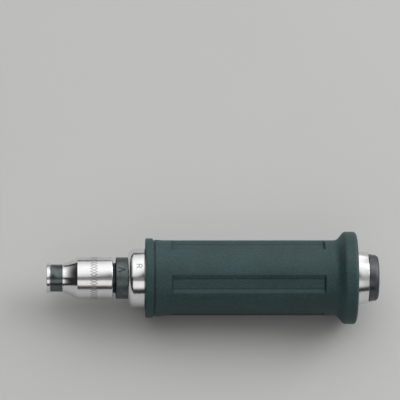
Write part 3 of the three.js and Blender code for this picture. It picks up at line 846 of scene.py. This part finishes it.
def grip_sleeve():
    """The outline goes from the front band over the panels and the hand stop, and back through the bore."""
    bore, bore_middle, rear_bore, rear_face = 16.55, 100.0, 15.35, 22.0
    front, band_end = GRIP_FRONT - 0.25, 58.1
    lip_start, lip_radius, lip_end = 60.4, 21.3, 64.9
    band = eased([
        (GRIP_FRONT + 0.6, bore), (front, bore + 0.05), (front, BAND_RADIUS, 0.6), (front + 1.2, BAND_RADIUS),
        (band_end, BAND_RADIUS), (GROOVE_START - 0.25, BAND_RADIUS, 0.3), (GROOVE_START, GROOVE_RADIUS, 0.15),
        (GROOVE_END, GROOVE_RADIUS, 0.25), (lip_start, lip_radius, 0.3), (lip_end, GRIP_RADIUS)], 5)
    panels = [(station, panelled(station)) for station in panel_stations()]
    plain = [(PANEL_END + beyond, GRIP_RADIUS) for beyond in (2.4, 4.3)]
    rear = eased([
        (GRIP_REAR, rear_face), (GRIP_REAR, rear_bore, 0.4), (TAPER_START, bore), (bore_middle, bore)])
    outline = band + panels + plain + hand_stop() + rear
    return lathe("grip_sleeve_rubber", outline, GRIP_BEARINGS, closed=True, angle=0)


dress(grip_sleeve(), GRIP_RUBBER, "handle", "grip_rubber", "grip_sleeve")


# Direction marks: thin etched strokes that follow the steel's curve

STROKE_STEP, STROKE_HEIGHT, STROKE_DEPTH = 0.15, 0.012, 0.02
LETTER_WIDTH, ARROW_WIDTH = 0.42, 0.55
LETTER_STATION, ARROW_STATION = 51.2, 41.5
DIRECTION_TURN = math.radians(53)
RIGHT_BEARING = math.radians(-2.5)
LEFT_BEARING = RIGHT_BEARING + DIRECTION_TURN


def strokes(name, lines, width, radius, bearing, station):
    """Lines of (aside, along) points laid on a cylinder. Along runs to +X, aside towards lower bearings.

    Each line lies a little higher than the one before, so that strokes which cross share no face.
    """
    higher = 0.003
    runs = []
    for number, line in enumerate(lines):
        points = [Vector(line[0])]
        for a, b in zip(line, line[1:]):
            count = max(1, round((Vector(b) - Vector(a)).length / STROKE_STEP))
            points += [Vector(a).lerp(Vector(b), k / count) for k in range(1, count + 1)]
        top, bottom = radius + STROKE_HEIGHT + higher * number, radius - STROKE_DEPTH
        sections = []
        for i, point in enumerate(points):
            ahead = points[min(i + 1, len(points) - 1)] - points[max(i - 1, 0)]
            side = Vector((-ahead.y, ahead.x)).normalized() * width / 2
            one, two = point + side, point - side
            corners = [(one, top), (two, top), (two, bottom), (one, bottom)]
            sections.append([place(station + spot.y, height, bearing - spot.x / radius)
                             for spot, height in corners])
        runs.append(sections)
    return skin(name, runs)


def bow(centre, radius, start, end, count=14):
    """Round stroke from one angle to another, in degrees from the aside direction."""
    return [(centre[0] + radius * math.cos(a), centre[1] + radius * math.sin(a))
            for a in np.radians(np.linspace(start, end, count))]


LETTER_R = [[(-1.1, -1.5), (-1.1, 1.5)],
            [(-1.1, 1.5), (0.2, 1.5)] + bow((0.2, 0.75), 0.75, 90, -90) + [(-1.1, 0.0)],
            [(0.1, 0.0), (1.15, -1.5)]]
LETTER_L = [[(-0.85, 1.5), (-0.85, -1.5), (0.95, -1.5)]]
ARROW = [[(-1.45, -2.1), (0, 2.1)], [(1.45, -2.1), (0, 2.1)]]
dress(strokes("right_turn_mark", LETTER_R, LETTER_WIDTH, CASING_RADIUS, RIGHT_BEARING, LETTER_STATION),
      MARK_GREY, "handle", "collar_chrome")
dress(strokes("left_turn_mark", LETTER_L, LETTER_WIDTH, CASING_RADIUS, LEFT_BEARING, LETTER_STATION),
      MARK_GREY, "handle", "collar_chrome")
dress(strokes("stem_arrow", ARROW, ARROW_WIDTH, STEM_RADIUS, RIGHT_BEARING, ARROW_STATION),
      MARK_DARK, "drive", "black_oxide")


# Finishes of the inner pieces, which keep their own solids

def refinish(finish, *nodes):
    """Gives CAD nodes a finish in place of their plain material."""
    for name in nodes:
        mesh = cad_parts[name].data
        mesh.materials.clear()
        mesh.materials.append(finish.material)


refinish(HARD_STEEL, "cross_pin", "cam_sleeve", "cam_key_1", "cam_key_2", "head_pin",
         "front_spring_seat", "rear_spring_seat")
refinish(SPRING_STEEL, "return_spring")
refinish(BRONZE, "thrust_washer")
refinish(SEAL_RUBBER, "head_seal")


# Floor: the tool lies on its hand stop and its front band

def paper(name):
    """Pale paper, which throws less light back on the tool than it shows."""
    darker, colour, paler = (0.55, 0.55, 0.545), (0.56, 0.56, 0.555), (0.57, 0.57, 0.565)
    finish = Finish(name, colour, Roughness=0.85)
    seen = finish.mix(finish.noise(9.0, 4.0), shade(darker), shade(paler))
    ray = finish.add("ShaderNodeLightPath").outputs
    mirrored = finish.math("MAXIMUM", ray["Is Glossy Ray"], ray["Is Transmission Ray"])
    looked_at = finish.math("MAXIMUM", ray["Is Camera Ray"], mirrored)
    finish.set(Base_Color=finish.mix(looked_at, shade((0.3, 0.3, 0.3)), seen))
    return finish


def floor():
    """Square sheet that just clears the hand stop and the front band, and leans as they lie."""
    stop_station, band_station, gap = 168.5, 57.0, 0.01
    reach, count = 6000 * MM, 24
    stop = Vector(place(stop_station, STOP_RADIUS + gap, math.pi))
    band = Vector(place(band_station, BAND_RADIUS + gap, math.pi))
    run, across = (stop - band).normalized(), Vector((0, 1, 0))
    corner = stop - run * reach - across * reach
    size = count + 1
    places = [corner + run * (2 * reach * i / count) + across * (2 * reach * j / count)
              for i in range(size) for j in range(size)]
    faces = [(i * size + j, (i + 1) * size + j, (i + 1) * size + j + 1, i * size + j + 1)
             for i in range(count) for j in range(count)]
    mesh = bpy.data.meshes.new("floor")
    mesh.from_pydata(places, [], faces)
    mesh.materials.append(paper("floor_paper").material)
    link("floor", mesh)


floor()


# Sky. Tilt is a direction's bearing in degrees, and x is its share along +X.

DARK_LEVEL, CEILING_LEVEL, WALL_LEVEL, AXIS_LEVEL = 0.025, 1.13, 1.2, 0.7
REFLECTOR_COLOUR = (0.97, 0.93, 0.93)

# Tilts and x over which the ceiling rises and falls
NEAR_EDGE, NEAR_GLOW, GLOW_SHARE = (-26.0, -16.0), (-18.0, 2.0), 0.3
FAR_EDGE, FAR_FADE, FAR_SHARE = (72.0, 86.0), (30.0, 85.0), 0.56
CREST, CREST_GAIN = (5.0, 25.0, 45.0, 65.0), 0.09
NOSE_EDGE, NOSE_EDGE_LEAN, HEAD_EDGE = (-0.85, -0.49), -0.0014, (0.3, 0.7)

# The ceiling lies further back in the belt, which holds what the casing's tapered tail mirrors
BELT, BELT_NEAR_SHIFT, BELT_FAR_SHIFT, BELT_FAR_GAIN = (0.05, 0.2, 0.28, 0.4), -25.0, -14.0, 0.62
HEAD_SIDE, HEAD_NEAR_SHIFT = (0.28, 0.4), 2.0
NOSE_SIDE, NOSE_FAR_SHIFT = (-0.4, -0.15), 6.0

# Tilts and x over which the wall, the reflector and the strip rise and fall
WALL_TILTS, WALL_EDGE, AXIS_EDGE = (-45.0, 40.0, 75.0, 88.0), (0.46, 0.66), (0.82, 0.95)
REFLECTOR_TILTS, REFLECTOR_SPAN = (-75.0, -62.0, -40.5, -36.5), (-0.76, -0.3, 0.1, 0.9)
STRIP_TILTS, STRIP_SPAN = (-40.0, -36.0, -26.0, -21.0), (-0.6, -0.3, 0.5, 0.8)
STRIP_RISE, STRIP_LEVELS = (0.15, 0.35), (0.2, 0.36)


def ceiling(sky, tilt, x):
    """Share of the bright ceiling. It ends above the camera, low beyond the tool, and past nose and head."""
    belt = sky.window(x, *BELT)
    near_tilt = sky.math("MULTIPLY_ADD", belt, BELT_NEAR_SHIFT, tilt)
    near_tilt = sky.math("ADD", near_tilt, sky.ramp(x, *HEAD_SIDE, 0.0, HEAD_NEAR_SHIFT))
    near_glow = sky.ramp(near_tilt, *NEAR_GLOW, 0.0, GLOW_SHARE)
    near_edge = sky.math("MULTIPLY_ADD", sky.ramp(near_tilt, *NEAR_EDGE), 1 - GLOW_SHARE, near_glow)
    far_tilt = sky.math("MULTIPLY_ADD", belt, BELT_FAR_SHIFT, tilt)
    far_tilt = sky.math("ADD", far_tilt, sky.ramp(x, *NOSE_SIDE, NOSE_FAR_SHIFT, 0.0))
    far_edge = sky.ramp(far_tilt, *FAR_EDGE, 1.0, 0.0)
    far_share = sky.math("MULTIPLY_ADD", belt, BELT_FAR_GAIN, FAR_SHARE)
    far_level = sky.ramp(tilt, *FAR_FADE, 1.0, far_share)
    crest = sky.math("MULTIPLY_ADD", sky.window(tilt, *CREST), CREST_GAIN, 1.0)
    lean = sky.math("MULTIPLY_ADD", tilt, NOSE_EDGE_LEAN, x)
    lengthwise = sky.times(sky.ramp(lean, *NOSE_EDGE), sky.ramp(x, *HEAD_EDGE, 1.0, 0.0))
    return sky.times(far_edge, far_level, near_edge, crest, lengthwise)


def wall(sky, tilt, x):
    """Level of the bright wall beyond the striking face, which is dimmer close to the axis."""
    on_axis = sky.ramp(x, *AXIS_EDGE)
    share = sky.math("MAXIMUM", sky.window(tilt, *WALL_TILTS), on_axis)
    level = sky.math("MULTIPLY_ADD", on_axis, AXIS_LEVEL - WALL_LEVEL, WALL_LEVEL)
    return sky.times(share, sky.ramp(x, *WALL_EDGE), level)


def front_panels(sky, tilt, x):
    """Share of a reflector low in front of the tool, and level of a faint strip between it and ceiling."""
    reflector = sky.times(sky.window(tilt, *REFLECTOR_TILTS), sky.window(x, *REFLECTOR_SPAN))
    strip_level = sky.ramp(x, *STRIP_RISE, *STRIP_LEVELS)
    strip = sky.times(sky.window(tilt, *STRIP_TILTS), sky.window(x, *STRIP_SPAN), strip_level)
    return reflector, strip


def studio_sky():
    """World light: nearly dark all round, with the ceiling, the wall and the panels in front."""
    world = bpy.data.worlds.new("studio")
    bpy.context.scene.world = world
    world.use_nodes = True
    sky = Graph(world.node_tree)
    direction = sky.add("ShaderNodeTexCoord").outputs["Generated"]
    x, y, z = sky.add("ShaderNodeSeparateXYZ", {"Vector": direction}).outputs
    tilt = sky.math("DEGREES", sky.math("ARCTAN2", y, z))
    reflector, strip = front_panels(sky, tilt, x)
    level = sky.math("MULTIPLY_ADD", ceiling(sky, tilt, x), CEILING_LEVEL, DARK_LEVEL)
    level = sky.math("ADD", level, sky.math("ADD", wall(sky, tilt, x), strip))
    white = sky.add("ShaderNodeCombineColor", {0: level, 1: level, 2: level}).outputs["Color"]
    warm = sky.add("ShaderNodeVectorMath", {0: REFLECTOR_COLOUR, "Scale": reflector}, operation="SCALE")
    both = sky.add("ShaderNodeVectorMath", {0: white, 1: warm.outputs["Vector"]}, operation="ADD")
    sky.feed(world.node_tree.nodes["Background"].inputs["Color"], both.outputs["Vector"])


def softbox(name, power, size, away, x, bearing):
    """Square lamp that looks at the tool from a direction given by its share along +X and its bearing."""
    target = Vector((-LENGTH / 2 * MM, 0, 0))
    across = math.sqrt(1 - x * x)
    direction = Vector((x, across * math.sin(bearing), across * math.cos(bearing)))
    light = bpy.data.lights.new(name, "AREA")
    light.energy, light.shape, light.size = power, "SQUARE", size
    lamp = link(name, light)
    lamp.location = target + direction * away
    lamp.rotation_euler = direction.to_track_quat("Z", "Y").to_euler()


studio_sky()
softbox("key", power=24.0, size=1.9, away=2.4, x=0.78, bearing=math.radians(30))
